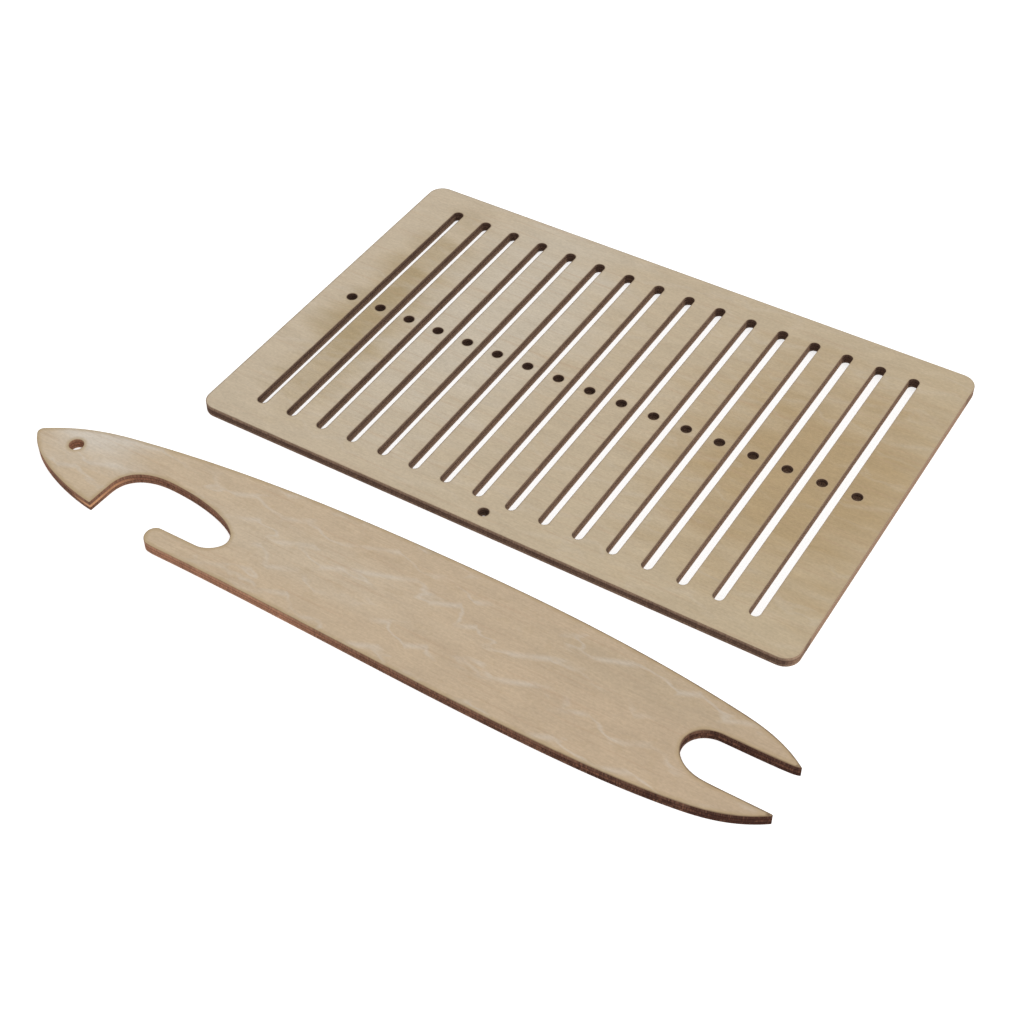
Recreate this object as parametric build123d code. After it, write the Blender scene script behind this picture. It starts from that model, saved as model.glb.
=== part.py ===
from build123d import *
import math
import os

# Hand loom set cut from thin plywood: a rigid heddle plate, and the stick shuttle that carries the weft.
# Frame: the origin is on the axis of the heddle's middle eye, on the underside. +X runs along the heddle's
# long side, which is the way the shuttle travels, +Y from the shuttle towards the heddle, +Z up.
# All sizes are in millimetres.

# ---- the plywood --------------------------------------------------------------------------------
veneer_thickness = 1.0      # one of the three veneers of a board
veneers = ("back_veneer", "core_veneer", "face_veneer")     # from the underside up

# ---- the rigid heddle ---------------------------------------------------------------------------
heddle_length = 179.4       # along X
heddle_width = 119.6        # along Y
heddle_corner_radius = 4.5
warp_pitch = 10.0           # from one eye to the next; the slots lie half way between
slot_width = 3.0
rail_width = 8.8            # uncut border between a slot's end and the long edge
post_width = 7.0            # least wood between the outermost eye and the short edge
eye_diameter = 3.0
eye_row_shift = 0.5         # the row of eyes lies this far off the plate's middle, towards -X
cord_hole_diameter = 3.0    # hole in the near rail, in line with the middle eye
cord_hole_inset = 4.8       # from the long edge to that hole's centre

# ---- the stick shuttle, in its own frame: x from the nose, y from the fork's centre line ------------
shuttle_length = 224.4
shuttle_gap = 13.4          # clear space between the heddle and the shuttle's upper edge
shuttle_nose_lead = 30.2    # how far the nose reaches past the heddle's short edge

nose_height = 3.25
nose_round = 1.2            # half the height of the blunt tip
shoulder_at = 24.0          # where the head's steep back turns into the long upper edge
shoulder_height = 13.8
shoulder_slope = 0.185
back_slope = 0.70           # slope of the upper edge as it leaves the nose
crown_at = 122.0            # highest point of the upper edge
crown_height = 21.0
belly_at = 165.0            # lowest point of the lower edge
belly_depth = 17.3

# hook notch, open downwards, in which the weft is caught
hook_point_at = 30.1
hook_point_depth = 11.0
hook_wall_height = 8.2      # straight stretch of the hook's inner wall
hook_wall_lean = 0.35
notch_crown_at = 43.0
notch_crown_height = 5.8
notch_end_at = 69.5
notch_end_depth = 3.8
notch_floor_depth = 8.7     # upper side of the finger below the notch
notch_floor_at = 63.4       # where the notch's end runs out onto the finger
finger_tip_at = 49.55
finger_tip_depth = 11.3
finger_nose_reach = 2.4     # length of the round above the finger's tip
finger_bevel_at = 51.6      # the bevel under the finger's tip ends here
finger_bevel_rise = 0.3     # height of that end above the lower edge
finger_edge_depth = 14.9
finger_edge_at = 54.0       # the lower edge starts here

# fork at the other end, on which the weft is wound
fork_depth = 26.75
fork_root_width = 13.8
fork_apex_height = 0.8      # the root's deepest point lies this far above the fork's centre line
upper_root_run = 6.9        # along X, from that point to where the upper prong's inner edge starts
lower_root_run = 8.9        # and the same for the lower prong
fork_mouth_width = 14.4
prong_tip_width = 0.45      # blunt end of each prong
upper_tip_slant = 1.6       # the upper prong's end face is slanted back by this much at the fork
upper_prong_from_end = 22.4     # where the upper edge begins to drop to the prong's tip
upper_prong_height = 15.6
upper_prong_slope = -0.163
lower_prong_from_end = 19.4
lower_prong_depth = 15.1
lower_prong_slope = 0.14
prong_end_slope = 0.75

shuttle_hole_diameter = 4.0
shuttle_hole_at = 12.6
shuttle_hole_height = 4.1

# ---- places worked out from the sizes above -----------------------------------------------------
eye_room = heddle_length / 2 - eye_row_shift - eye_diameter / 2 - post_width
eyes_each_side = math.floor(eye_room / warp_pitch)
eye_places = [i * warp_pitch for i in range(-eyes_each_side, eyes_each_side + 1)]
slot_places = [place + warp_pitch / 2 for place in eye_places[:-1]]
slot_length = heddle_width - 2 * rail_width

shuttle_x = eye_row_shift - heddle_length / 2 - shuttle_nose_lead
shuttle_y = -heddle_width / 2 - shuttle_gap - crown_height


def span(start, start_slope, end, end_slope):
    """Cubic stretch of edge that leaves start and meets end at the given slopes."""
    third = (end[0] - start[0]) / 3
    return Bezier(
        start,
        (start[0] + third, start[1] + third * start_slope),
        (end[0] - third, end[1] - third * end_slope),
        end,
    )


def heddle_outline():
    """Plate with a row of eyes on its centre line and a long round-ended slot between each two."""
    plate = Pos(eye_row_shift, 0) * RectangleRounded(heddle_length, heddle_width, heddle_corner_radius)
    for place in slot_places:
        plate -= Pos(place, 0) * SlotOverall(slot_length, slot_width, rotation=90)
    for place in eye_places:
        plate -= Pos(place, 0) * Circle(eye_diameter / 2)
    plate -= Pos(0, cord_hole_inset - heddle_width / 2) * Circle(cord_hole_diameter / 2)
    return plate


def head_edges(upper_start, lower_start, hook_point):
    """The blunt nose and the head's lower edge, down to the hook's point."""
    drop = hook_point[1] - lower_start[1]
    run = hook_point[0] - lower_start[0]
    nose = ThreePointArc(upper_start, (0, nose_height), lower_start)
    jaw = Bezier(
        lower_start,
        (lower_start[0] + 0.18 * run, lower_start[1] + 0.58 * drop),
        (lower_start[0] + 0.69 * run, lower_start[1] + 0.925 * drop),
        hook_point,
    )
    return [nose, jaw]


def notch_edges(hook_point, lower_edge_start):
    """The hook notch, from the hook's point round to the bevelled finger below it."""
    wall_top = (hook_point[0] + hook_wall_lean, hook_point[1] + hook_wall_height)
    crown = (notch_crown_at, notch_crown_height)
    end = (notch_end_at, -notch_end_depth)
    floor_start = (notch_floor_at, -notch_floor_depth)
    tip = (finger_tip_at, -finger_tip_depth)
    floor_end = (finger_tip_at + finger_nose_reach, -notch_floor_depth)
    bevel_end = (finger_bevel_at, finger_bevel_rise - finger_edge_depth)

    rise = crown[1] - wall_top[1]
    width = crown[0] - wall_top[0]
    reach = end[0] - crown[0]
    fall = crown[1] - end[1]
    curl = end[0] - floor_start[0]
    sink = end[1] - floor_start[1]
    return [
        Line(hook_point, wall_top),
        Bezier(
            wall_top,
            (wall_top[0] + 0.03 * width, wall_top[1] + 0.67 * rise),
            (crown[0] - 0.55 * width, crown[1]),
            crown,
        ),
        Bezier(crown, (crown[0] + 0.43 * reach, crown[1]), (end[0], end[1] + 0.65 * fall), end),
        Bezier(end, (end[0], end[1] - 0.45 * sink), (end[0] - 0.5 * curl, floor_start[1]), floor_start),
        Line(floor_start, floor_end),
        Bezier(
            floor_end,
            (floor_end[0] - 0.6 * finger_nose_reach, floor_end[1]),
            (tip[0], tip[1] + 0.45 * (floor_end[1] - tip[1])),
            tip,
        ),
        Bezier(
            tip,
            (tip[0], tip[1] + 0.52 * (bevel_end[1] - tip[1])),
            (bevel_end[0] - 0.49 * (bevel_end[0] - tip[0]), bevel_end[1] + 0.17 * (tip[1] - bevel_end[1])),
            bevel_end,
        ),
        Bezier(
            bevel_end,
            (bevel_end[0] + 0.35 * (lower_edge_start[0] - bevel_end[0]), lower_edge_start[1] + 0.15),
            (bevel_end[0] + 0.6 * (lower_edge_start[0] - bevel_end[0]), lower_edge_start[1]),
            lower_edge_start,
        ),
    ]


def fork_edges(lower_tip, upper_tip):
    """The slightly flared fork between the two prongs; its round root is a little fuller below."""
    apex = (shuttle_length - fork_depth, fork_apex_height)
    lower_mouth = (shuttle_length - prong_tip_width / 2, -fork_mouth_width / 2)
    upper_mouth = (shuttle_length - upper_tip_slant, fork_mouth_width / 2)
    lower_root = (apex[0] + lower_root_run, -fork_root_width / 2)
    upper_root = (apex[0] + upper_root_run, fork_root_width / 2)

    drop = lower_root[1] - apex[1]
    rise = upper_root[1] - apex[1]
    return [
        Line(lower_tip, lower_mouth),
        Line(lower_mouth, lower_root),
        Bezier(
            lower_root,
            (apex[0] + 0.31 * lower_root_run, apex[1] + 0.93 * drop),
            (apex[0], apex[1] + 0.44 * drop),
            apex,
        ),
        Bezier(
            apex,
            (apex[0], apex[1] + 0.55 * rise),
            (apex[0] + 0.45 * upper_root_run, upper_root[1]),
            upper_root,
        ),
        Line(upper_root, upper_mouth),
        Line(upper_mouth, upper_tip),
    ]


def shuttle_outline():
    """Stick shuttle: a fish-shaped blade with a hooked head and a forked tail."""
    nose_top = (0.4 * nose_round, nose_height + nose_round)
    nose_bottom = (0.4 * nose_round, nose_height - nose_round)
    shoulder = (shoulder_at, shoulder_height)
    crown = (crown_at, crown_height)
    belly = (belly_at, -belly_depth)
    hook_point = (hook_point_at, -hook_point_depth)
    lower_edge_start = (finger_edge_at, -finger_edge_depth)
    upper_prong = (shuttle_length - upper_prong_from_end, upper_prong_height)
    lower_prong = (shuttle_length - lower_prong_from_end, -lower_prong_depth)
    upper_tip = (shuttle_length, fork_mouth_width / 2 + prong_tip_width)
    lower_tip = (shuttle_length, -fork_mouth_width / 2 - prong_tip_width)

    edges = head_edges(nose_top, nose_bottom, hook_point)
    edges += notch_edges(hook_point, lower_edge_start)
    edges.append(span(lower_edge_start, 0, belly, 0))
    edges.append(span(belly, 0, lower_prong, lower_prong_slope))
    edges.append(span(lower_prong, lower_prong_slope, lower_tip, prong_end_slope))
    edges += fork_edges(lower_tip, upper_tip)
    edges.append(span(upper_prong, upper_prong_slope, upper_tip, -prong_end_slope))
    edges.append(span(crown, 0, upper_prong, upper_prong_slope))
    edges.append(span(shoulder, shoulder_slope, crown, 0))
    edges.append(span(nose_top, back_slope, shoulder, shoulder_slope))

    blade = make_face(edges)
    blade -= Pos(shuttle_hole_at, shuttle_hole_height) * Circle(shuttle_hole_diameter / 2)
    return Pos(shuttle_x, shuttle_y) * blade


def board(name, outline):
    """Glued plywood board: the same outline in each of its three veneers, one node apiece."""
    for layer, veneer in enumerate(veneers):
        solid = Pos(0, 0, layer * veneer_thickness) * extrude(outline, veneer_thickness)
        export_step(solid, f"parts/{name}_{veneer}.step")


os.makedirs("parts", exist_ok=True)
board("heddle", heddle_outline())
board("shuttle", shuttle_outline())
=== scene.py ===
# %% [markdown]
# # A laser-cut heddle plate and its stick shuttle
# The object is a small weaving set: a rigid heddle, which is a flat plate with a row of eyes and long
# slots for the warp threads, and a stick shuttle that carries the weft. Both are cut by laser from
# three-ply birch plywood. The imported model gives every size and outline, so the first step loads it and
# measures its box. Only the look is given here: the camera, the light, and where the wood's broad patches
# of colour lie.

# %% Load the frame
import math

import bmesh
import bpy
import numpy as np
from mathutils import Matrix, Vector, geometry


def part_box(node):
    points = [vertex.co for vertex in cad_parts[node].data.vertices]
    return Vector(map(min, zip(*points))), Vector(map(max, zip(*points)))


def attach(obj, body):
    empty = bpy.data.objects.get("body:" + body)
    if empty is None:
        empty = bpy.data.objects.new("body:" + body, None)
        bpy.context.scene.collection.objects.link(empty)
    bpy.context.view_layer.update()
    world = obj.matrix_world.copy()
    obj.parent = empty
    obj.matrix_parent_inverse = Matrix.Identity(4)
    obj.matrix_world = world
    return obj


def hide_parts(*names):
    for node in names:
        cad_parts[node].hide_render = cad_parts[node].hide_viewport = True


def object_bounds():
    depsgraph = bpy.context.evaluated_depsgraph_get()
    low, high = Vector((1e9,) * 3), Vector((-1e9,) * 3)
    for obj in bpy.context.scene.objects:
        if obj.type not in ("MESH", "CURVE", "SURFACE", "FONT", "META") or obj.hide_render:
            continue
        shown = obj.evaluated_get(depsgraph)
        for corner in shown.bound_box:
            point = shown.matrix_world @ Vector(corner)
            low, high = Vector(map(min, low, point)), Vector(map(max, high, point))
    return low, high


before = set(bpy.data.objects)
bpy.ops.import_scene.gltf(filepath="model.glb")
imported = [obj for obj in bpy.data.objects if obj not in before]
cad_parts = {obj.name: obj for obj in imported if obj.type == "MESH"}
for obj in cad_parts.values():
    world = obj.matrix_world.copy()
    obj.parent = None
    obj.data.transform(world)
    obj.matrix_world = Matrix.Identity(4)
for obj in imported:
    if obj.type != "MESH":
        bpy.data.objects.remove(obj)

cad_box = [list(corner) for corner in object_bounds()]
MM = 0.001
print("box in mm", [[round(v / MM, 2) for v in corner] for corner in cad_box])

# %% [markdown]
# ## Camera
# The camera comes first, because it decides what can be seen. It looks down at about 45 degrees from the
# right front corner with a lens of about 64 mm, which is how a small craft tool is usually shown. Its aim
# is a point near the plate's front rail, and its place is worked out from that point, two angles and a
# distance.

# %% Camera
plate_low, plate_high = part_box("heddle_face_veneer")

AIM = Vector((6.3 * MM, plate_low.y + 8.6 * MM, plate_high.z))
CAMERA_DISTANCE = 466.6 * MM
CAMERA_AZIMUTH = math.radians(31.87)
CAMERA_ELEVATION = math.radians(45.28)
CAMERA_ROLL = math.radians(-0.422)
LENS_MM = 63.67

towards_camera = Vector((
    math.sin(CAMERA_AZIMUTH) * math.cos(CAMERA_ELEVATION),
    -math.cos(CAMERA_AZIMUTH) * math.cos(CAMERA_ELEVATION),
    math.sin(CAMERA_ELEVATION),
))
camera_data = bpy.data.cameras.new("camera")
camera_data.lens = LENS_MM
camera_data.clip_start = 0.01
camera = bpy.data.objects.new("camera", camera_data)
bpy.context.scene.collection.objects.link(camera)
camera.matrix_world = (
    Matrix.Translation(AIM + towards_camera * CAMERA_DISTANCE)
    @ (-towards_camera).to_track_quat("-Z", "Y").to_matrix().to_4x4()
    @ Matrix.Rotation(CAMERA_ROLL, 4, "Z")
)
bpy.context.scene.camera = camera
print("camera at, in mm", [round(v / MM, 1) for v in camera.matrix_world.translation])

# %% [markdown]
# ## Reading the cut lines off the frame
# A laser follows closed lines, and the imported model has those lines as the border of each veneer's upper
# face. Its mesh is loose triangles, so a copy is merged, the faces that look up are kept, and the edges
# with only one such face are chained into loops. All sizes of the heddle can then be measured on the
# loops: the biggest is the plate's rim, the long narrow ones are slots, and the round ones are eyes.

# %% Chain a node's upper border into loops
WELD = 0.001 * MM


def cut_loops(node_name):
    """Closed outlines of a node's upper face, each an array of points in order."""
    copy = bmesh.new()
    copy.from_mesh(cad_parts[node_name].data)
    bmesh.ops.remove_doubles(copy, verts=copy.verts, dist=WELD)
    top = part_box(node_name)[1].z
    upper = [f for f in copy.faces if all(abs(v.co.z - top) < 10 * WELD for v in f.verts)]
    among_upper = set(upper)
    onward = {}
    for face in upper:
        for loop in face.loops:
            if sum(other in among_upper for other in loop.edge.link_faces) == 1:
                onward[loop.vert] = loop.link_loop_next.vert
    loops = []
    while onward:
        first, vert = onward.popitem()
        points = [first.co.xy]
        while vert is not first:
            points.append(vert.co.xy)
            vert = onward.pop(vert)
        loops.append(np.array(points))
    copy.free()
    return sorted(loops, key=lambda points: -np.ptp(points, axis=0).prod())


heddle_loops = cut_loops("heddle_face_veneer")
shuttle_loops = cut_loops("shuttle_face_veneer")
print("loops of the heddle", len(heddle_loops), "and of the shuttle", len(shuttle_loops))

# %% [markdown]
# ## Measuring the heddle
# A heddle is described by a few numbers: its length and width, how wide the slots are, and how far apart
# the threads run. They could be written down here again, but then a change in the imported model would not
# reach the looks, so they are measured on the loops. The straight part of the rim's far side gives the
# corner radius.

# %% Measure the heddle


def middle(points):
    """Centre of a loop's box."""
    return (points.max(axis=0) + points.min(axis=0)) / 2


heddle_rim, *heddle_holes = heddle_loops
slots = [hole for hole in heddle_holes if np.ptp(hole[:, 1]) > 3 * np.ptp(hole[:, 0])]
round_holes = [hole for hole in heddle_holes if np.ptp(hole[:, 1]) < 1.5 * np.ptp(hole[:, 0])]
eyes = [hole for hole in round_holes if abs(middle(hole)[1]) < 1 * MM]
cord_hole = next(hole for hole in round_holes if abs(middle(hole)[1]) >= 1 * MM)
eye_xs = sorted(middle(eye)[0] for eye in eyes)
far_side = heddle_rim[heddle_rim[:, 1] > heddle_rim[:, 1].max() - WELD]

heddle_sizes = {
    "Length": float(np.ptp(heddle_rim[:, 0])),
    "Width": float(np.ptp(heddle_rim[:, 1])),
    "Shift": float(middle(heddle_rim)[0]),
    "Corner Radius": float(np.ptp(heddle_rim[:, 0]) - np.ptp(far_side[:, 0])) / 2,
    "Pitch": float((eye_xs[-1] - eye_xs[0]) / (len(eyes) - 1)),
    "Eyes Each Side": len(eyes) // 2,
    "Slot Width": float(np.ptp(slots[0][:, 0])),
    "Slot Length": float(np.ptp(slots[0][:, 1])),
    "Eye Diameter": float(np.ptp(eyes[0][:, 1])),
    "Cord Hole Diameter": float(np.ptp(cord_hole[:, 1])),
    "Cord Hole Y": float(middle(cord_hole)[1]),
}
for name, value in heddle_sizes.items():
    print(f"{name}: {value / MM:.2f} mm" if isinstance(value, float) else f"{name}: {value}")

# %% [markdown]
# ## Small helpers for node trees
# Shader trees and geometry trees are wired in the same way: add a node, set its inputs, and join it to
# what came before. One helper does all three, so the cells below read as a list of steps.

# %% Node helper


def add(tree, kind, inputs=None, **settings):
    """Adds a node; each input is a value, or the socket that feeds it."""
    made = tree.nodes.new(kind)
    for name, value in settings.items():
        setattr(made, name, value)
    for key, value in (inputs or {}).items():
        if isinstance(value, bpy.types.NodeSocket):
            tree.links.new(value, made.inputs[key])
        else:
            made.inputs[key].default_value = value
    return made


def maths(tree, operation, *values):
    """A Math node's output."""
    return add(tree, "ShaderNodeMath", dict(enumerate(values)), operation=operation).outputs[0]


def total(tree, *values):
    """The sum of the values."""
    result = values[0]
    for value in values[1:]:
        result = maths(tree, "ADD", result, value)
    return result


def times(tree, first, second):
    """The product of two values."""
    return maths(tree, "MULTIPLY", first, second)


def axes(tree, place):
    """The X, Y and Z of a place."""
    return add(tree, "ShaderNodeSeparateXYZ", {0: place}).outputs[:3]


# %% [markdown]
# ## Colours
# Wood colours are easiest to judge as they look on a screen, while a shader works on linear light, so
# colours are written in screen values and converted. Layers of colour are then laid over each other as a
# painter lays glazes: a mix where something covers the wood, and a multiplication where it only darkens
# it.

# %% Colour tools


def linear(red, green, blue):
    """A colour given as 0 to 255 on a screen, as the linear values that a shader wants."""
    def channel(value):
        value /= 255
        return value / 12.92 if value <= 0.04045 else ((value + 0.055) / 1.055) ** 2.4
    return (channel(red), channel(green), channel(blue), 1.0)


def mix(tree, factor, first, second, blend="MIX"):
    """A colour mix; factor, first and second are values or sockets."""
    made = add(tree, "ShaderNodeMix", data_type="RGBA", blend_type=blend, clamp_factor=True)
    for socket, value in ((made.inputs[0], factor), (made.inputs[6], first), (made.inputs[7], second)):
        if isinstance(value, bpy.types.NodeSocket):
            tree.links.new(value, socket)
        else:
            socket.default_value = value
    return made.outputs[2]


def shaded(tree, colour, shade):
    """The colour times a grey value."""
    grey = add(tree, "ShaderNodeCombineColor", {"Red": shade, "Green": shade, "Blue": shade})
    return mix(tree, 1.0, colour, grey.outputs[0], "MULTIPLY")


print("mid grey in linear light", round(linear(128, 128, 128)[0], 3))

# %% [markdown]
# ## Fields on the sheet
# Everything that varies over a sheet of wood is a field: a number for each place. Fine things, such as
# fibres, come from noise stretched along the grain. Broad things, such as a darker end of the board, come
# from a ramp along an axis or from an oval patch with a ragged edge. All of them read Object coordinates,
# which lie still when a board is moved.

# %% Noise, ramps and patches


def stretched_noise(tree, place, size_mm, offset=0.0, detail=3.0, roughness=0.5, distortion=0.0):
    """Noise whose blobs are about size_mm (x, y, z) across."""
    scaled = add(tree, "ShaderNodeMapping", {
        "Vector": place,
        "Location": (offset, offset * 0.7, offset * 0.3),
        "Scale": tuple(1 / (size * MM) for size in size_mm),
    })
    return add(tree, "ShaderNodeTexNoise", {
        "Vector": scaled.outputs[0], "Scale": 1.0, "Detail": detail,
        "Roughness": roughness, "Distortion": distortion,
    }).outputs["Fac"]


def ramp(tree, value, low, high, bottom=0.0, top=1.0):
    """value from low to high, stretched to bottom to top."""
    return add(tree, "ShaderNodeMapRange", {
        "Value": value, "From Min": low, "From Max": high, "To Min": bottom, "To Max": top,
    }).outputs[0]


def zone(tree, place, centre, half, offset):
    """1 inside an oval patch of the sheet and 0 outside, with a ragged edge; centre and half in mm."""
    scaled = add(tree, "ShaderNodeMapping", {
        "Vector": place,
        "Location": (-centre[0] / half[0], -centre[1] / half[1], 0),
        "Scale": (1 / (half[0] * MM), 1 / (half[1] * MM), 0),
    })
    away = add(tree, "ShaderNodeVectorMath", {0: scaled.outputs[0]}, operation="LENGTH").outputs["Value"]
    ragged = ramp(tree, stretched_noise(tree, place, (28, 6, 6), offset, 3.0), 0.2, 0.8, -0.4, 0.4)
    return ramp(tree, total(tree, away, ragged), 1.15, 0.35)


def along(tree, place, low, high, bottom=0.0, top=1.0):
    """A ramp along X between two places in mm."""
    return ramp(tree, axes(tree, place)[0], low * MM, high * MM, bottom, top)


# %% [markdown]
# ## Birch face veneer
# Birch is pale and quiet. What the eye reads is large soft patches of grey-beige and warm tan, fine fibres
# along the sheet, tiny pores, and on a rotary-cut sheet some pale wavy lines where the knife crossed a
# growth ring. A painted texture would show all this at once, but only from one side and at one scale. Here
# each is one field, and the next cell makes those that belong to the grain.

# %% Grain and flame


def new_material(name):
    """A material with a Principled shader, its tree, and the Object coordinates."""
    material = bpy.data.materials.new(name)
    material.use_nodes = True
    tree = material.node_tree
    shader = tree.nodes["Principled BSDF"]
    place = add(tree, "ShaderNodeTexCoord").outputs["Object"]
    return material, tree, shader, place


FLAME_GAP = 9 * MM      # mean distance from one flame line to the next


def wood_grain(tree, place, offset):
    """Fibres, flecks and pores: (a shade to multiply with, the fibres alone, the pores alone)."""
    fibres = stretched_noise(tree, place, (4.5, 0.35, 0.35), offset + 9, 4.0, 0.62)
    fleck = stretched_noise(tree, place, (0.9, 0.6, 0.6), offset + 13, 2.0, 0.6)
    pores = stretched_noise(tree, place, (2.2, 0.13, 0.13), offset + 17, 2.0, 0.5)
    pore = ramp(tree, pores, 0.68, 0.78, 1.0, 0.82)
    shade = times(tree, ramp(tree, fibres, 0.25, 0.75, 0.92, 1.07), pore)
    return times(tree, shade, ramp(tree, fleck, 0.3, 0.7, 0.935, 1.06)), fibres, pore


def flame_lines(tree, place, offset):
    """Pale zig-zag lines, where a slow jagged field crosses one of a few heights."""
    x, y, _ = axes(tree, place)
    slow = stretched_noise(tree, place, (40, 17, 20), offset, 3.5, 0.62, 0.3)
    steps = total(tree, maths(tree, "DIVIDE", x, FLAME_GAP), times(tree, slow, 7))
    zigzag = maths(tree, "PINGPONG", steps, 1.0)
    field = total(tree, maths(tree, "DIVIDE", y, FLAME_GAP), times(tree, slow, 2.6),
                  times(tree, zigzag, 0.42))
    ridge = maths(tree, "ABSOLUTE", maths(tree, "SUBTRACT", maths(tree, "FRACT", field), 0.5))
    broken = ramp(tree, stretched_noise(tree, place, (22, 9, 10), offset + 4), 0.40, 0.56)
    return times(tree, ramp(tree, ridge, 0.15, 0.02), broken)


print("flame lines about every", round(FLAME_GAP / MM, 1), "mm")

# %% [markdown]
# ## The sanded face
# The face is sanded and left bare, so it is matt, and its fibres stand out only a little. Its colour runs
# from one tone at the left end to another at the right, with patches over it. The laser leaves a
# yellow-brown halo beside each cut. Painting that by hand would have to be redone with each change of
# outline, so the mesh carries the distance to the cut as the attribute "rim", in millimetres, and ramps
# turn it into scorch.

# %% The face material
FLAME_TINT = linear(206, 197, 185)
STREAK_TINT = linear(180, 150, 122)
RIM_TINT = linear(92, 68, 52)


def scorched_rim(tree, colour, place, reach, halo, rim_width, offset):
    """Scorch beside the cut: a wide faint yellow, and a narrow brown line at the rim itself."""
    rim = add(tree, "ShaderNodeAttribute", attribute_name="rim").outputs["Fac"]
    patchy = stretched_noise(tree, place, (3.0, 3.0, 3.0), offset + 31, 3.0)
    away = maths(tree, "DIVIDE", rim, ramp(tree, patchy, 0.3, 0.7, 0.75, 1.25))
    tint, width, strength = halo
    colour = mix(tree, ramp(tree, away, width, 0.08, 0.0, strength), colour, tint)
    narrow = maths(tree, "DIVIDE", away, along(tree, place, -reach, reach, *rim_width))
    return mix(tree, ramp(tree, narrow, 1.0, 0.1, 0.0, 0.85), colour, RIM_TINT)


def birch_face(name, left, right, reach, patches, flame, halo, rim_width, offset):
    """Sanded birch: tones at -reach and reach mm; a patch is (centre, half size, colour, strength)."""
    material, tree, shader, place = new_material(name)
    colour = mix(tree, along(tree, place, -reach, reach), left, right)
    for number, (centre, half, tint, strength) in enumerate(patches):
        inside = zone(tree, place, centre, half, offset + 3 * number)
        colour = mix(tree, times(tree, inside, strength), colour, tint)
    clouds = stretched_noise(tree, place, (13, 5.5, 9), offset + 5, 3.5, 0.62, 0.4)
    colour = shaded(tree, colour, ramp(tree, clouds, 0.30, 0.70, 0.95, 1.045))
    line = times(tree, flame_lines(tree, place, offset + 21), flame)
    colour = mix(tree, line, colour, FLAME_TINT)
    streaks = stretched_noise(tree, place, (34, 0.9, 0.9), offset + 25, 3.0)
    colour = mix(tree, ramp(tree, streaks, 0.56, 0.72, 0.0, 0.28), colour, STREAK_TINT)
    shade, fibres, pore = wood_grain(tree, place, offset)
    colour = scorched_rim(tree, shaded(tree, colour, shade), place, reach, halo, rim_width, offset)
    tree.links.new(colour, shader.inputs["Base Color"])

    tree.links.new(ramp(tree, fibres, 0.3, 0.7, 0.58, 0.72), shader.inputs["Roughness"])
    shader.inputs["Specular IOR Level"].default_value = 0.25
    relief = total(tree, times(tree, fibres, 0.7), times(tree, pore, 0.5))
    bump = add(tree, "ShaderNodeBump", {"Height": relief, "Strength": 0.4, "Distance": 0.04 * MM})
    tree.links.new(bump.outputs[0], shader.inputs["Normal"])
    return material


print("scorch at the rim", [round(value, 3) for value in RIM_TINT[:3]])

# %% [markdown]
# ## Two boards, two sheets
# The heddle and the shuttle are cut from different sheets, or from different places in one. The heddle's
# is greyer, with a wide pale band left of its middle and tan ends. The shuttle's is pinker with a clear
# flame figure, and its scorch is wider. Only the values differ, so one function makes both.

# %% Face materials of the two boards
heddle_birch = birch_face(
    "heddle_birch", left=linear(195, 179, 155), right=linear(187, 169, 140), reach=86,
    patches=[
        ((-69, 0), (14, 48), linear(170, 150, 114), 0.90),
        ((61.2, 8.7), (1.3, 0.5), linear(122, 88, 64), 0.60),
        ((-38, 12), (30, 66), linear(198, 186, 167), 0.80),
        ((66, 0), (44, 50), linear(174, 150, 112), 0.90),
    ],
    flame=0.12, halo=(linear(170, 150, 122), 0.60, 0.45), rim_width=(0.36, 0.14), offset=3.0,
)
shuttle_birch = birch_face(
    "shuttle_birch", left=linear(196, 176, 149), right=linear(187, 165, 138), reach=100,
    patches=[
        ((-104, -82), (20, 14), linear(206, 196, 182), 0.90),
        ((-35, -92), (50, 9), linear(196, 180, 157), 0.50),
        ((60, -84), (40, 8), linear(178, 160, 134), 0.50),
    ],
    flame=0.38, halo=(linear(168, 144, 104), 1.40, 0.70), rim_width=(0.14, 0.50), offset=41.0,
)
for material in (heddle_birch, shuttle_birch):
    print(material.name, "has", len(material.node_tree.nodes), "nodes")

# %% [markdown]
# ## Scorched cut edge
# The laser burns its way through, so a cut wall is brown and striped from top to bottom by the beam. How
# dark it looks depends on the place, and much of that is painted light and shade: a slot's wall is painted
# lighter towards the lamp's side at +X and towards the bottom, where the glowing table lights it, the
# plate's short ends are painted lighter, a small eye's wall is painted darker as shade in the hole, the
# shuttle's chin is painted lighter, and the shuttle's wall gets darker towards its fork. So each board has
# its own map of burn and painted light, a sum of ramps and ovals, and the stripes are added to it before it
# picks a colour between char and toasted wood. The stripes are noise stretched along Z, which keeps them
# upright on any wall.

# %% Burn and painted light maps: 0 is char, 1 is toasted wood


def height_over_middle(tree, place):
    """Height over the board's mid-plane."""
    return maths(tree, "SUBTRACT", axes(tree, place)[2], (cad_box[0][2] + cad_box[1][2]) / 2)


LAST_EYE = heddle_sizes["Pitch"] * heddle_sizes["Eyes Each Side"]
LAST_SLOT = (LAST_EYE - heddle_sizes["Pitch"] / 2) / MM
SLOT_END = heddle_sizes["Slot Length"] / 2
SHORT_EDGE = heddle_sizes["Length"] / 2


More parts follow.
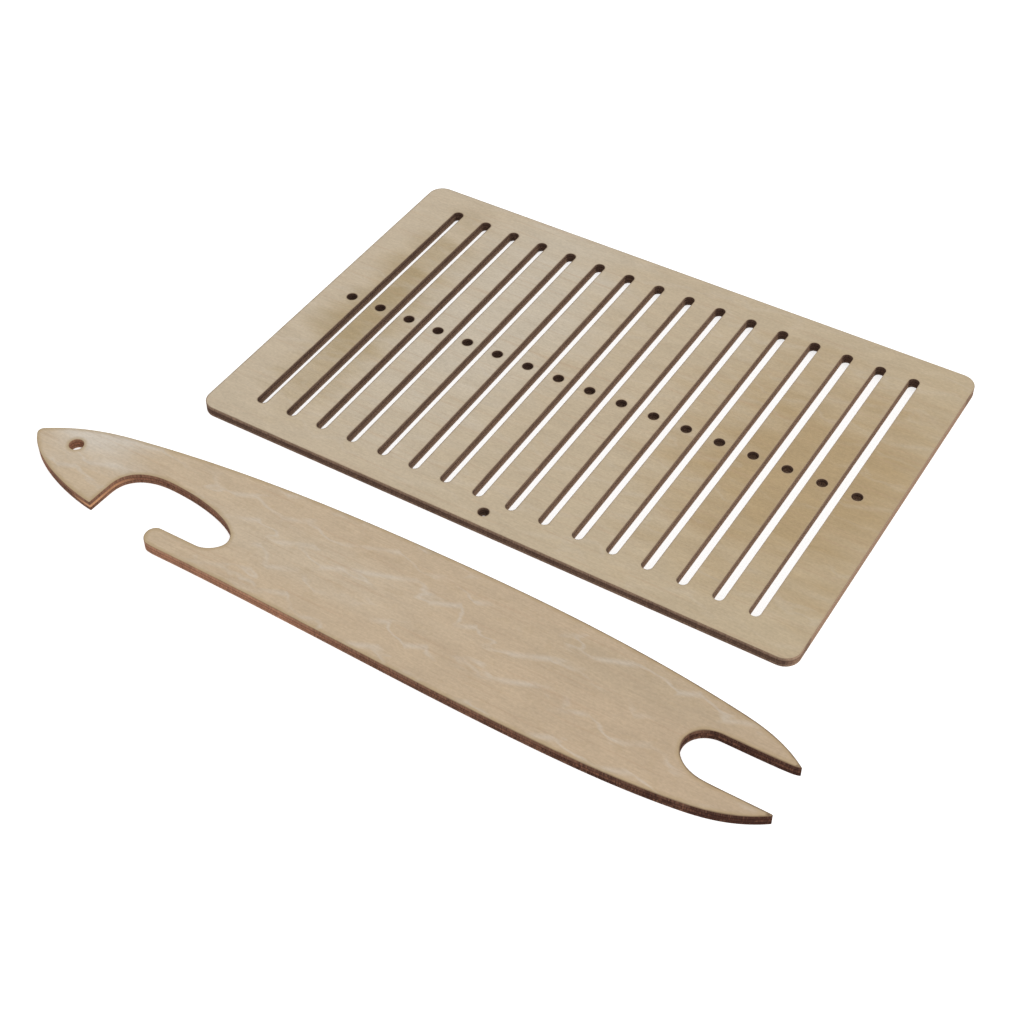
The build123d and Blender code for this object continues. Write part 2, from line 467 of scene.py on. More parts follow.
def heddle_burn_and_painted_light(tree, place):
    """Slots painted lighter towards +X and downwards, short ends lighter: painted light; eyes painted dark
    as shade; long edges and slot ends dark.
    """
    x, y, _ = axes(tree, place)
    up = height_over_middle(tree, place)
    side = maths(tree, "ABSOLUTE", y)
    across = maths(tree, "ABSOLUTE", x)
    # Painted light: slot walls are made lighter towards +X, the lamp's side, and towards the bottom, where
    # the glowing table lights them, and a little lighter at the top.
    slot = total(tree, along(tree, place, -LAST_SLOT, LAST_SLOT, 0.14, 0.70),
                 ramp(tree, up, 0.6 * MM, -1.0 * MM, 0.0, 0.60),
                 ramp(tree, up, 0.6 * MM, 1.4 * MM, 0.0, 0.16))
    slot = times(tree, slot, ramp(tree, side, SLOT_END - 1.7 * MM, SLOT_END - 0.8 * MM, 1.0, 0.0))
    # The long edges are lighter at the top, and they are painted lighter towards the bottom as light from
    # the glowing table.
    long_edge = total(
        tree, ramp(tree, up, 0.3 * MM, 1.3 * MM, 0.0, 0.55), ramp(tree, up, -0.2 * MM, -1.0 * MM, 0.0, 0.3))
    outside = ramp(tree, side, SLOT_END + 1.5 * MM, SLOT_END + 3.5 * MM)
    burn = add(tree, "ShaderNodeMix", {0: outside, 2: slot, 3: long_edge}, data_type="FLOAT").outputs[0]
    # Painted light: both short ends are made lighter, for the right end that faces the lamp.
    short_end_painted_light = ramp(tree, across, SHORT_EDGE - 2.2 * MM, SHORT_EDGE - 0.2 * MM, 0.0, 0.55)
    # Painted shade: the walls of the eyes are made darker, as shade inside the small holes.
    from_eye = maths(tree, "PINGPONG", x, heddle_sizes["Pitch"] / 2)
    eye_painted_shade = ramp(tree, from_eye, 2.4 * MM, 2.0 * MM)
    for field, low, high in ((side, 2.4 * MM, 2.0 * MM), (across, LAST_EYE + 4 * MM, LAST_EYE + 3 * MM)):
        eye_painted_shade = times(tree, eye_painted_shade, ramp(tree, field, low, high))
    return total(tree, burn, short_end_painted_light, times(tree, eye_painted_shade, -0.6))


def shuttle_burn_and_painted_light(tree, place):
    """Even from head to middle, lighter at the chin as painted light, lighter below the hook's finger, dark
    at the fork.
    """
    up = height_over_middle(tree, place)
    finger = times(tree, zone(tree, place, (-44, -109), (36, 8), 70.0), 0.30)
    # Painted light: the chin's wall is seen at a grazing angle, and its lighter tone here is painted.
    chin = times(tree, zone(tree, place, (-106, -90), (12, 12), 74.0), 0.35)
    return total(tree, along(tree, place, -5, 96, 0.31, 0.02),
                 ramp(tree, up, 0.3 * MM, 1.4 * MM, 0.0, 0.08), finger, chin)


print("burn maps turn darker past", round(SLOT_END / MM, 1), "mm from the eye row")

# %% [markdown]
# ## The burnt wall
# The wall itself could be one brown, but close up it is striped: the beam pulses, and each pulse leaves an
# upright line. The stripes and a slow unevenness are added to the map of burn and painted light before it
# picks the colour. The glue between two veneers burns blacker than wood, which gives two thin dark lines,
# and where a splinter has broken off, clean wood shows.

# %% The edge material


core_low, core_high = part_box("heddle_core_veneer")
HALF_CORE = (core_high.z - core_low.z) / 2      # the glue lines lie this far from the board's middle
STRIPE_WIDTH = 0.35     # of the laser's upright stripes, in mm


def scorched_edge(name, burn_and_light_map, char, toast, bare, bare_place, offset):
    """Burnt end of a veneer, with the painted light and shade that its map brings; bare_place is (centre,
    half size, strength) of a place with clean wood.
    """
    material, tree, shader, place = new_material(name)
    stripes = stretched_noise(tree, place, (STRIPE_WIDTH, STRIPE_WIDTH, 5.0), offset, 3.0, 0.6)
    fine = stretched_noise(tree, place, (0.10, 0.10, 1.6), offset + 3, 2.0, 0.5)
    slow = stretched_noise(tree, place, (9.0, 9.0, 9.0), offset + 7, 3.0, 0.6)
    chips = stretched_noise(tree, place, (2.2, 2.2, 0.9), offset + 11, 2.0, 0.5)

    # The map brings painted light and shade along with the burn.
    uneven = total(tree, burn_and_light_map(tree, place), ramp(tree, stripes, 0.25, 0.75, -0.24, 0.24),
                   ramp(tree, slow, 0.3, 0.7, -0.12, 0.12))
    colour = mix(tree, uneven, char, toast)
    centre, half, strength = bare_place
    clean = times(tree, zone(tree, place, centre, half, offset + 15), strength)
    colour = mix(tree, clean, colour, bare)
    colour = mix(tree, ramp(tree, chips, 0.74, 0.82, 0.0, 0.6), colour, bare)
    over_middle = maths(tree, "ABSOLUTE", height_over_middle(tree, place))
    from_glue = maths(tree, "ABSOLUTE", maths(tree, "SUBTRACT", over_middle, HALF_CORE))
    colour = shaded(tree, colour, ramp(tree, from_glue, 0.04 * MM, 0.16 * MM, 0.62, 1.0))
    colour = shaded(tree, colour, ramp(tree, fine, 0.3, 0.7, 0.82, 1.18))
    tree.links.new(colour, shader.inputs["Base Color"])

    tree.links.new(ramp(tree, stripes, 0.3, 0.7, 0.70, 0.90), shader.inputs["Roughness"])
    shader.inputs["Specular IOR Level"].default_value = 0.05
    relief = total(tree, stripes, times(tree, fine, 0.5))
    bump = add(tree, "ShaderNodeBump", {"Height": relief, "Strength": 0.6, "Distance": 0.06 * MM})
    tree.links.new(bump.outputs[0], shader.inputs["Normal"])
    return material


print("glue lines", round(HALF_CORE / MM, 2), "mm from the middle, stripes about", STRIPE_WIDTH, "mm wide")

# %% [markdown]
# ## Four edge materials
# The core veneer's wood runs across the other two, so it shows its end grain and gets colours of its own,
# and each board has its own map of burn and painted light. The shuttle's core has one place with clean
# wood, by the hook's finger. Two materials for each board are enough, because its face and back veneers
# burn alike.

# %% Edge materials of the two boards
BARE_WOOD = linear(190, 142, 106)
NO_PLACE = ((0, 0), (1, 1), 0.0)
HOOK_PLACE = ((-88, -103), (9, 11), 0.85)
edges = {}
for board, layer, burn_and_light_map, char, toast, bare_place, offset in (
    ("heddle", "outer", heddle_burn_and_painted_light, linear(78, 58, 48), linear(148, 122, 102), NO_PLACE, 2.0),
    ("heddle", "core", heddle_burn_and_painted_light, linear(77, 56, 46), linear(146, 116, 94), NO_PLACE, 6.0),
    ("shuttle", "outer", shuttle_burn_and_painted_light, linear(60, 36, 28), linear(172, 128, 102), NO_PLACE, 12.0),
    ("shuttle", "core", shuttle_burn_and_painted_light, linear(60, 35, 27), linear(176, 124, 98), HOOK_PLACE, 16.0),
):
    edges[board, layer] = scorched_edge(
        f"{board}_{layer}_edge", burn_and_light_map, char, toast, BARE_WOOD, bare_place, offset)
print("materials", len(bpy.data.materials))

# %% [markdown]
# ## How a veneer's edge is shaped
# A glued board isn't a plain slab. Each veneer's end is a little rounded where it meets the glue line, and
# the outer rim is softened by sanding. An edge profile says this as a list of steps from the underside to
# the top: how far in from the cut line, how high, and what the rim distance is there. The last steps lie
# on the face, so that the scorch has points to fade over.

# %% Edge profiles
GROOVE = 0.05 * MM      # how far a veneer's end falls back at a glue line
ARRIS = 0.10 * MM       # radius of the sanded outer rim
FACE_RINGS = (0.30, 0.80)       # mm in from the cut, where the heddle's face has extra points
SHUTTLE_RINGS = (0.30, 0.80, 1.50)      # the same for the shuttle, whose scorch is wider


def arris_steps(top):
    """Quarter round from the wall up to the face, then the rings on the face."""
    steps = []
    for turn in (30, 60, 90):
        angle = math.radians(turn)
        inset = ARRIS * (1 - math.cos(angle))
        steps.append((inset, top - ARRIS * (1 - math.sin(angle)), inset / MM, turn < 90))
    return steps + [(ring * MM, top, ring, False) for ring in FACE_RINGS]


def flipped(steps, low, high):
    """The same steps from the other side of the veneer; a step's last value says if it ends a wall."""
    turned = [(inset, low + high - height, rim) for inset, height, rim, _ in reversed(steps)]
    walls = [wall for *_, wall in reversed(steps)]
    return [(*step, wall) for step, wall in zip(turned, walls[-1:] + walls[:-1])]


def veneer_profile(layer, low, high):
    """(inset, height, rim distance, ends a wall) for each step, from the underside to the top."""
    glue = GROOVE * 1.2
    foot = [(GROOVE, low, 0, True), (0, low + glue, 0, True)]
    if layer == "core":
        return foot + [(0, high - glue, 0, True), (GROOVE, high, 0, True)]
    face = foot + [(0, high - ARRIS, 0, True)] + arris_steps(high)
    return face if layer == "face" else flipped(face, low, high)


print("steps of a face veneer", len(veneer_profile("face", 0, 1 * MM)))

# %% [markdown]
# ## The heddle plate, by Geometry Nodes
# The heddle follows a rule: an eye every pitch, and a slot half way between each two. A node group draws
# all its cut lines at a given inset from the cut: the rim shrinks, and slots and eyes grow. Because the
# lines have the same points at every inset, the plate can be grown from them step by step: take the lines
# as edges, extrude them without moving, and put the new points where the next step's lines are. Filling
# the last lines closes the face. Slots and eyes are instances on a row of points, so their number is one
# input.

# %% Tree inputs
SIZE_NAMES = list(heddle_sizes)
LENGTH_NAMES = [name for name in SIZE_NAMES if name != "Eyes Each Side"]


def new_tree(name, floats, integers, materials=()):
    """An empty geometry tree with named inputs."""
    tree = bpy.data.node_groups.new(name, "GeometryNodeTree")
    for labels, kind in ((floats, "Float"), (integers, "Int"), (materials, "Material")):
        for label in labels:
            tree.interface.new_socket(label, in_out="INPUT", socket_type="NodeSocket" + kind)
    tree.interface.new_socket("Geometry", in_out="OUTPUT", socket_type="NodeSocketGeometry")
    return tree, add(tree, "NodeGroupInput").outputs, add(tree, "NodeGroupOutput").inputs


# %% [markdown]
# ## Shapes and rows inside a tree
# The cut lines are of three kinds: a rectangle with round corners, which is also a slot when the corners
# are as large as they can be, a circle, and a row of copies. Each could be typed in as points, but a row
# of instances keeps the number of slots and eyes as one input. The helpers below add such a shape to a
# tree.

# %% Shapes and rows
CORNER_POINTS = 14
HOLE_POINTS = 36
FULL_ROUND = 0.4999     # a slot's corner radius, as a share of its width; 0.5 would leave doubled points


def set_choice(made, old_property, socket_name, old_value, new_value):
    """Sets a choice that is a property of the node, or a menu socket, as the release has it."""
    if socket_name in made.inputs:
        made.inputs[socket_name].default_value = new_value
    else:
        setattr(made, old_property, old_value)


def vector(tree, **parts):
    """A vector from its X, Y and Z, each a value or a socket."""
    return add(tree, "ShaderNodeCombineXYZ", parts).outputs[0]


def rounded(tree, width, height, radius):
    """A rectangle with round corners."""
    sharp = add(tree, "GeometryNodeCurvePrimitiveQuadrilateral", {"Width": width, "Height": height})
    soft = add(tree, "GeometryNodeFilletCurve", {"Curve": sharp.outputs[0], "Radius": radius})
    set_choice(soft, "mode", "Mode", "POLY", "Poly")
    soft.inputs["Count"].default_value = CORNER_POINTS
    return soft.outputs[0]


def ring(tree, diameter, inset):
    """The circle of a hole that has been widened by the inset."""
    radius = total(tree, times(tree, diameter, 0.5), inset)
    return add(tree, "GeometryNodeCurvePrimitiveCircle", {
        "Resolution": HOLE_POINTS, "Radius": radius}).outputs[0]


def row_of(tree, shape, count, half_row, pitch):
    """Copies of a closed line along X, centred on the middle eye."""
    start = times(tree, times(tree, half_row, pitch), -1)
    line = add(tree, "GeometryNodeMeshLine", {
        "Count": count, "Start Location": vector(tree, X=start), "Offset": vector(tree, X=pitch)})
    placed = add(tree, "GeometryNodeInstanceOnPoints", {"Points": line.outputs[0], "Instance": shape})
    return add(tree, "GeometryNodeRealizeInstances", {0: placed.outputs[0]}).outputs[0]


def moved(tree, shape, **parts):
    """The shape, moved along the axes that are given."""
    return add(tree, "GeometryNodeTransform", {
        "Geometry": shape, "Translation": vector(tree, **parts)}).outputs[0]


print("points on a corner", CORNER_POINTS, "and on a hole", HOLE_POINTS)

# %% [markdown]
# ## All cut lines at one inset
# The laser cuts the whole drawing in one go, and this group is that drawing: the rim, the slots, the eyes
# and the cord hole. Its first input, the inset, moves every line into the wood by the same amount, so one
# group serves all the steps of an edge.

# %% The cut lines at one inset


def build_cut_lines():
    """The group that draws the heddle's closed lines."""
    tree, given, result = new_tree("heddle_cut_lines", ["Inset"] + LENGTH_NAMES, ["Eyes Each Side"])
    inset, pitch, side = given["Inset"], given["Pitch"], given["Eyes Each Side"]
    twice = times(tree, inset, 2)

    rim = rounded(
        tree,
        maths(tree, "SUBTRACT", given["Length"], twice),
        maths(tree, "SUBTRACT", given["Width"], twice),
        maths(tree, "SUBTRACT", given["Corner Radius"], inset),
    )
    slot_wide = total(tree, given["Slot Width"], twice)
    slot_long = total(tree, given["Slot Length"], twice)
    slot = rounded(tree, slot_wide, slot_long, times(tree, slot_wide, FULL_ROUND))
    slot_count = times(tree, side, 2)
    slot_row = row_of(tree, slot, slot_count, maths(tree, "SUBTRACT", side, 0.5), pitch)
    eye_count = total(tree, slot_count, 1)
    eye_row = row_of(tree, ring(tree, given["Eye Diameter"], inset), eye_count, side, pitch)
    cord = moved(tree, ring(tree, given["Cord Hole Diameter"], inset), Y=given["Cord Hole Y"])

    joined = add(tree, "GeometryNodeJoinGeometry")
    for lines in (cord, eye_row, slot_row, moved(tree, rim, X=given["Shift"])):
        tree.links.new(lines, joined.inputs[0])
    tree.links.new(joined.outputs[0], result[0])
    return tree


cut_lines = build_cut_lines()
print("cut line group has", len(cut_lines.nodes), "nodes")

# %% [markdown]
# ## Growing a veneer from the lines
# A veneer could also be a filled face, extruded and bevelled, but a bevel on thirty-four holes is hard to
# keep clean. Here each step of the edge profile is an extrusion of nothing, after which the new points are
# told where to go: point for point, to the lines of the next inset. Two attributes are stored on the way:
# "rim", the distance to the cut, and "wall", which says where the scorched material goes.

# %% Steps of growth


def raised(tree, shape, height):
    """The shape, lifted by a height."""
    return add(tree, "GeometryNodeSetPosition", {"Geometry": shape, "Offset": (0, 0, height)}).outputs[0]


def labelled(tree, mesh, attribute, domain, value, chosen=True):
    """The mesh with a number stored on its chosen points or faces."""
    return add(tree, "GeometryNodeStoreNamedAttribute", {
        "Geometry": mesh, "Selection": chosen, "Name": attribute, "Value": value,
    }, data_type="FLOAT", domain=domain).outputs[0]


def lid(tree, lines, height, rim):
    """The flat face inside the lines."""
    flat = add(tree, "GeometryNodeFillCurve", {"Curve": lines})
    set_choice(flat, "mode", "Mode", "TRIANGLES", "Triangles")
    return labelled(tree, raised(tree, flat.outputs[0], height), "rim", "POINT", rim)


def grown(tree, lines_at, profile):
    """The wall: the first step's lines as edges, extruded to the lines of each further step."""
    inset, height, rim, _ = profile[0]
    first_edges = add(tree, "GeometryNodeCurveToMesh", {"Curve": lines_at(inset)}).outputs[0]
    mesh = labelled(tree, raised(tree, first_edges, height), "rim", "POINT", rim)
    count = add(tree, "GeometryNodeAttributeDomainSize", {0: mesh}, component="MESH").outputs["Point Count"]
    index = add(tree, "GeometryNodeInputIndex").outputs[0]
    position = add(tree, "GeometryNodeInputPosition").outputs[0]
    newest = True
    for step, (inset, height, rim, is_wall) in enumerate(profile[1:], start=1):
        pulled = add(tree, "GeometryNodeExtrudeMesh", {
            "Mesh": mesh, "Selection": newest, "Offset Scale": 0.0}, mode="EDGES")
        target = add(tree, "GeometryNodeCurveToMesh", {"Curve": lines_at(inset)}).outputs[0]
        own = maths(tree, "SUBTRACT", index, times(tree, count, step))
        there = add(tree, "GeometryNodeSampleIndex", {
            "Geometry": raised(tree, target, height), "Value": position, "Index": own,
        }, data_type="FLOAT_VECTOR", domain="POINT").outputs[0]
        newest = pulled.outputs["Top"]
        mesh = add(tree, "GeometryNodeSetPosition", {
            "Geometry": pulled.outputs["Mesh"], "Selection": newest, "Position": there}).outputs[0]
        mesh = labelled(tree, mesh, "rim", "POINT", rim, newest)
        mesh = labelled(tree, mesh, "wall", "FACE", float(is_wall), pulled.outputs["Side"])
    return mesh


print("a face veneer takes", len(veneer_profile("face", 0, 1 * MM)) - 1, "steps of growth")

# %% [markdown]
# ## The tree of one veneer
# Wall, lower lid and upper lid are joined and welded into one closed body. Real wood has its scorch only
# where the beam went, so the wall's faces get the edge material and all the others the face material. The
# tree ends with real meshes, not instances, because only those leave the program.

# %% One veneer's tree


def build_veneer_tree(name, profile):
    """A tree that grows one veneer of the heddle through the steps of its edge profile."""
    tree, given, result = new_tree(name, LENGTH_NAMES, ["Eyes Each Side"], ["Face", "Edge"])

    def lines_at(inset):
        group = add(tree, "GeometryNodeGroup", node_tree=cut_lines)
        group.inputs["Inset"].default_value = inset
        for label in SIZE_NAMES:
            tree.links.new(given[label], group.inputs[label])
        return group.outputs[0]

    lids = [lid(tree, lines_at(inset), height, rim) for inset, height, rim, _ in (profile[-1], profile[0])]
    joined = add(tree, "GeometryNodeJoinGeometry")
    for part in (*lids, grown(tree, lines_at, profile)):
        tree.links.new(part, joined.inputs[0])
    closed = add(tree, "GeometryNodeMergeByDistance", {"Geometry": joined.outputs[0], "Distance": WELD})
    real = add(tree, "GeometryNodeRealizeInstances", {0: closed.outputs[0]}).outputs[0]
    painted = add(tree, "GeometryNodeSetMaterial", {"Geometry": real, "Material": given["Face"]}).outputs[0]
    wall = add(tree, "GeometryNodeInputNamedAttribute", {"Name": "wall"}, data_type="FLOAT").outputs[0]
    painted = add(tree, "GeometryNodeSetMaterial", {
        "Geometry": painted, "Selection": maths(tree, "GREATER_THAN", wall, 0.5), "Material": given["Edge"],
    }).outputs[0]
    tree.links.new(painted, result[0])
    return tree


# %% [markdown]
# ## A finished piece
# However a veneer was made, it leaves this function in one form: a plain mesh of triangles at the origin,
# with its normals outward, and shaded smooth except where it turns sharply. Edges that don't lie between
# exactly two faces are counted as open, because a veneer is a solid piece of wood and should have none.
# The heddle's veneers have none. The shuttle's have a few, a fault that is left in.

# %% Finish a mesh
CREASE = math.radians(40)


def finished_piece(name, mesh):
    """A plain object at the origin from a finished mesh: normals outward, soft shading between creases."""
    shell = bmesh.new()
    shell.from_mesh(mesh)
    bmesh.ops.remove_doubles(shell, verts=shell.verts, dist=WELD)
    bmesh.ops.dissolve_degenerate(shell, edges=shell.edges, dist=WELD / 10)
    bmesh.ops.triangulate(shell, faces=[f for f in shell.faces if len(f.verts) > 3])
    bmesh.ops.recalc_face_normals(shell, faces=shell.faces)
    if shell.calc_volume(signed=True) < 0:
        bmesh.ops.reverse_faces(shell, faces=shell.faces)
    open_edges = sum(len(edge.link_faces) != 2 for edge in shell.edges)
    print(name, "triangles", len(shell.faces), "open edges", open_edges,
          "volume mm3", round(shell.calc_volume() / MM**3, 1))
    shell.to_mesh(mesh)
    shell.free()
    mesh.shade_smooth()
    mesh.set_sharp_from_angle(angle=CREASE)
    piece = bpy.data.objects.new(name, mesh)
    bpy.context.scene.collection.objects.link(piece)
    return piece


# %% [markdown]
# ## The heddle's three veneers
# The three sheets of a plywood board are separate pieces of wood, so each is grown on its own, with its
# own profile between its own lower and upper side. Every measured size goes into the tree by the
# identifier of its socket. The result is turned into a plain mesh, and each veneer takes the place of its
# node.

# %% Grow the three veneers of the heddle


def grow_heddle_veneer(layer, face_material, edge_material):
    """One veneer of the heddle, as a finished piece."""
    low, high = (corner.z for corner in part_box(f"heddle_{layer}_veneer"))
    tree = build_veneer_tree(f"heddle_{layer}_tree", veneer_profile(layer, low, high))
    host = bpy.data.objects.new(f"heddle_{layer}_host", bpy.data.meshes.new("host"))
    bpy.context.scene.collection.objects.link(host)
    nodes = host.modifiers.new("veneer", "NODES")
    nodes.node_group = tree
    sockets = {s.name: s.identifier for s in tree.interface.items_tree if s.in_out == "INPUT"}
    for label, value in heddle_sizes.items():
        nodes[sockets[label]] = value
    nodes[sockets["Face"]] = face_material
    nodes[sockets["Edge"]] = edge_material
    evaluated = host.evaluated_get(bpy.context.evaluated_depsgraph_get())
    mesh = bpy.data.meshes.new_from_object(evaluated)
    host.modifiers.remove(nodes)
    bpy.data.objects.remove(host)
    return finished_piece(f"heddle_{layer}", mesh)


for layer in ("face", "core", "back"):
    edge = edges["heddle", "core" if layer == "core" else "outer"]
    piece = grow_heddle_veneer(layer, heddle_birch, edge)
    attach(piece, "heddle")
    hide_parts(f"heddle_{layer}_veneer")

# %% [markdown]
# ## The shuttle, by mesh code
# The shuttle's outline is free-hand, so it is made from the cut line itself. The line's corners are found
# where it turns sharply. Between them it is run through again as a smooth curve with close, even points,
# and each corner is rounded a little, as burning and sanding leave it. The same edge profile then gives
# the wall, and the face is filled by a Delaunay triangulation with extra points beside the cut, which
# carry the rim distance for the scorch.

# %% Smooth, even points along a cut line
LINE_STEP = 0.45 * MM
SHARP_TURN = math.radians(28)
CORNER_ROUND = 0.3 * MM


def even_points(points):
    """The same closed line with even spacing, smooth between its sharp corners."""
    before, after = np.roll(points, 1, axis=0), np.roll(points, -1, axis=0)
    incoming, outgoing = points - before, after - points
    turn = np.arctan2(
        incoming[:, 0] * outgoing[:, 1] - incoming[:, 1] * outgoing[:, 0], (incoming * outgoing).sum(axis=1))
    corners = [i for i in range(len(points)) if abs(turn[i]) > SHARP_TURN]
    if not corners:
        corners = [0]
    even = []
    for start, end in zip(corners, corners[1:] + [corners[0] + len(points)]):
        run = points[np.arange(start, end + 1) % len(points)]
        even.append(smooth_run(run, closed=len(corners) == 1 and abs(turn[start]) <= SHARP_TURN))
    return even


def smooth_run(run, closed):
    """Catmull-Rom curve through a run of points, sampled evenly, without its last point."""
    lead = run[-2] if closed else 2 * run[0] - run[1]
    tail = run[1] if closed else 2 * run[-1] - run[-2]
    knots = np.vstack([lead, run, tail])
    fine = []
    for a, b, c, d in zip(knots, knots[1:], knots[2:], knots[3:]):
        t1, t2, t3 = np.cumsum([np.linalg.norm(q - p) ** 0.5 for p, q in ((a, b), (b, c), (c, d))])
        for t in np.linspace(t1, t2, 24, endpoint=False):
            ab = a + (b - a) * t / t1
            bc = b + (c - b) * (t - t1) / (t2 - t1)
            cd = c + (d - c) * (t - t2) / (t3 - t2)
            abc = ab + (bc - ab) * t / t2
            bcd = bc + (cd - bc) * (t - t1) / (t3 - t1)
            fine.append(abc + (bcd - abc) * (t - t1) / (t2 - t1))
    fine.append(run[-1])
    fine = np.array(fine)
    length = np.concatenate([[0], np.cumsum(np.linalg.norm(np.diff(fine, axis=0), axis=1))])
    count = max(2, round(length[-1] / LINE_STEP))
    wanted = np.linspace(0, length[-1], count + 1)[:-1]
    return np.column_stack([np.interp(wanted, length, fine[:, axis]) for axis in (0, 1)])


def rounded_line(points):
    """One closed line from the runs of even_points, with a small arc in place of each sharp corner."""
    runs = even_points(points)
    if len(runs) == 1:
        return runs[0]
    line = []
    for run, following in zip(runs, runs[1:] + runs[:1]):
        corner = following[0]
        keep = [p for p in run if np.linalg.norm(p - run[0]) > CORNER_ROUND]
        keep = [p for p in keep if np.linalg.norm(p - corner) > CORNER_ROUND]
        line += keep
        leave, meet = direction(keep[-1] if keep else run[0], corner), direction(corner, following[1])
        begin, end = corner - leave * CORNER_ROUND * 0.9, corner + meet * CORNER_ROUND * 0.9
        for t in (0.0, 0.2, 0.4, 0.6, 0.8, 1.0):
            line.append((1 - t) ** 2 * begin + 2 * t * (1 - t) * corner + t**2 * end)
    return np.array(line)


def direction(start, end):
    """Unit vector from start to end."""
    return (end - start) / np.linalg.norm(end - start)


shuttle_lines = [rounded_line(loop) for loop in shuttle_loops]
print("points on the shuttle's lines", [len(line) for line in shuttle_lines])

# %% [markdown]
# ## Filling the face
# A flat face needs no points inside, but the scorch fades over the first millimetres from the cut, and it
# can only do so where the mesh has points to carry the distance. So rings of points follow the outline at
# a few insets, and a Delaunay triangulation, which avoids thin triangles, joins them to the border.

# %% Insets, distances and the filled face
BLOCK = 400     # points handled at a time, to keep the tables small


def inset_line(line, inset):
    """A closed line moved inset to its left, which is into the wood."""
    tangent = np.roll(line, -1, axis=0) - np.roll(line, 1, axis=0)
    tangent /= np.linalg.norm(tangent, axis=1)[:, None]
    return line + inset * np.column_stack([-tangent[:, 1], tangent[:, 0]])


def distance_to_lines(points, lines):
    """Distance from each point to the nearest of the lines' straight pieces."""
    nearest = np.full(len(points), np.inf)
    for start in lines:
        step = np.roll(start, -1, axis=0) - start
        for block in range(0, len(points), BLOCK):
            here = points[block:block + BLOCK]
            share = ((here[:, None] - start) * step).sum(axis=2) / (step**2).sum(axis=1)
            foot = start + np.clip(share, 0, 1)[..., None] * step
            gap = np.linalg.norm(here[:, None] - foot, axis=2).min(axis=1)
            nearest[block:block + BLOCK] = np.minimum(nearest[block:block + BLOCK], gap)
    return nearest


def face_points(lines):
    """Extra points on the face beside the cut lines, ring by ring; where rings cross, they are left out."""
    kept = []
    for inset in SHUTTLE_RINGS:
        points = np.vstack([inset_line(line, inset * MM)[::2] for line in lines])
        kept.append(points[distance_to_lines(points, lines) > 0.97 * inset * MM])
    return np.vstack(kept)


def filled(lines, extra):
    """Triangles between the lines: (points, triangles), the lines' points first and in order."""
    coords = [Vector(p) for line in lines for p in line] + [Vector(p) for p in extra]
    borders, start = [], 0
    for line in lines:
        borders.append(list(range(start, start + len(line))))
        start += len(line)
    inside_with_holes = 2
    verts, _, faces, *_ = geometry.delaunay_2d_cdt(coords, [], borders, inside_with_holes, 1e-9)
    return np.array(verts), faces


print("extra points on the shuttle's face", len(face_points(shuttle_lines)))

# %% [markdown]
# ## The shuttle's three veneers
# The wall is a ladder of quads between the outline's copies at each step of the profile, and the two flat
# sides are filled. A last quad of each ring closes on the first, so the wall has no seam.

# %% Build the three veneers of the shuttle


def build_shuttle_veneer(layer, face_material, edge_material):
    """One veneer of the shuttle, as a finished piece."""
    low, high = (corner.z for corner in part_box(f"shuttle_{layer}_veneer"))
    profile = [step for step in veneer_profile(layer, low, high) if step[0] <= ARRIS * 1.01]
    shell = bmesh.new()
    rim_layer = shell.verts.layers.float.new("rim")
    for line in shuttle_lines:
        rows = []
        for inset, height, rim, _ in profile:
            row = [shell.verts.new((x, y, height)) for x, y in inset_line(line, inset)]
            for vert in row:
                vert[rim_layer] = rim
            rows.append(row)
        for below, above, step in zip(rows, rows[1:], profile[1:]):
            for i in range(len(line)):
                j = (i + 1) % len(line)
                shell.faces.new((below[i], below[j], above[j], above[i])).material_index = int(step[3])
    for inset, height, rim, _ in (profile[0], profile[-1]):
        borders = [inset_line(line, inset) for line in shuttle_lines]
        shows = layer != "core" and inset > GROOVE
        points, triangles = filled(borders, face_points(shuttle_lines) if shows else np.empty((0, 2)))
        away = np.full(len(points), float(rim))
        if shows:
            away = np.minimum(distance_to_lines(points, shuttle_lines) / MM, SHUTTLE_RINGS[-1])
        verts = [shell.verts.new((x, y, height)) for x, y in points]
        for vert, distance in zip(verts, away):
            vert[rim_layer] = distance
        for triangle in triangles:
            shell.faces.new([verts[i] for i in triangle])
    mesh = bpy.data.meshes.new(f"shuttle_{layer}")
    shell.to_mesh(mesh)
    shell.free()
    mesh.materials.append(face_material)
    mesh.materials.append(edge_material)
    return finished_piece(f"shuttle_{layer}", mesh)


for layer in ("face", "core", "back"):
    edge = edges["shuttle", "core" if layer == "core" else "outer"]
    piece = build_shuttle_veneer(layer, shuttle_birch, edge)
    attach(piece, "shuttle")
    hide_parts(f"shuttle_{layer}_veneer")

# %% [markdown]
# ## Table
# The boards lie on a white table that glows a little from inside, as a studio's light table does, so the
# slots read as clean white and hardly any shadow is left. A lamp below a glass plate would do the same,
# but a plain sheet with some emission is simpler and gives no noise. The table isn't part of the object,
# so it isn't attached to either board.

# %% Table
TABLE_REACH = 30.0      # in metres, so that its edge is out of sight
TABLE_GAP = 0.02 * MM   # between the table and the boards, which keeps the two from flickering
TABLE_WHITE = 0.8
TABLE_GLOW = 0.62


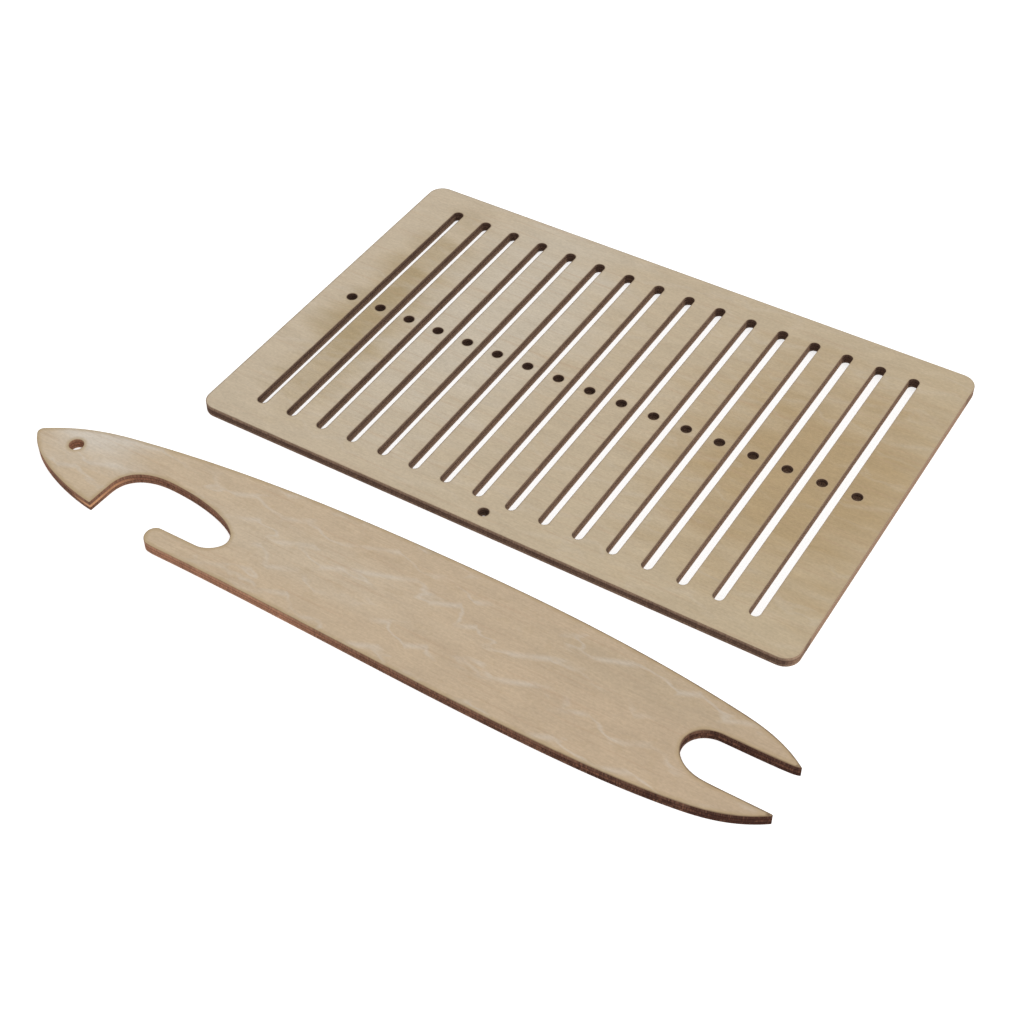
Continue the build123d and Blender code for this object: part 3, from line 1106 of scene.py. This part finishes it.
def build_table():
    """A large matt sheet just below the boards."""
    mesh = bpy.data.meshes.new("table")
    corners = [(x * TABLE_REACH, y * TABLE_REACH, 0) for x, y in ((-1, -1), (1, -1), (1, 1), (-1, 1))]
    mesh.from_pydata(corners, [], [(0, 1, 2, 3)])
    material = bpy.data.materials.new("light_table")
    material.use_nodes = True
    shader = material.node_tree.nodes["Principled BSDF"]
    shader.inputs["Base Color"].default_value = (TABLE_WHITE, TABLE_WHITE, TABLE_WHITE, 1)
    shader.inputs["Roughness"].default_value = 0.9
    shader.inputs["Specular IOR Level"].default_value = 0.0
    shader.inputs["Emission Color"].default_value = (1, 1, 1, 1)
    shader.inputs["Emission Strength"].default_value = TABLE_GLOW
    mesh.materials.append(material)
    table = bpy.data.objects.new("table", mesh)
    table.location.z = cad_box[0][2] - TABLE_GAP
    bpy.context.scene.collection.objects.link(table)
    return table


print("table at height in mm", round(build_table().location.z / MM, 2))

# %% [markdown]
# ## Light
# Bare wood looks best in light that comes from everywhere, because then its colour is seen and not its
# gloss. So the room is white all round, and one wide soft lamp on the right gives the cut edges on that
# side a little more light than the others.

# %% Light
ROOM_LIGHT = 0.86

world = bpy.data.worlds.new("white_room")
world.use_nodes = True
background = world.node_tree.nodes["Background"]
background.inputs["Color"].default_value = (1, 1, 1, 1)
background.inputs["Strength"].default_value = ROOM_LIGHT
bpy.context.scene.world = world
bpy.context.scene.view_settings.view_transform = "Standard"


def soft_lamp(name, place, aim, width, watts):
    """A round area lamp at a place, turned towards its aim."""
    data = bpy.data.lights.new(name, "AREA")
    data.shape = "DISK"
    data.size = width
    data.energy = watts
    lamp = bpy.data.objects.new(name, data)
    lamp.location = place
    lamp.rotation_euler = (Vector(aim) - Vector(place)).to_track_quat("-Z", "Y").to_euler()
    bpy.context.scene.collection.objects.link(lamp)
    return lamp


key_lamp = soft_lamp("key_lamp", place=(0.9, -0.1, 0.7), aim=(0, -0.03, 0), width=0.8, watts=3.0)
print(key_lamp.name, "at", [round(v, 2) for v in key_lamp.location], "m")
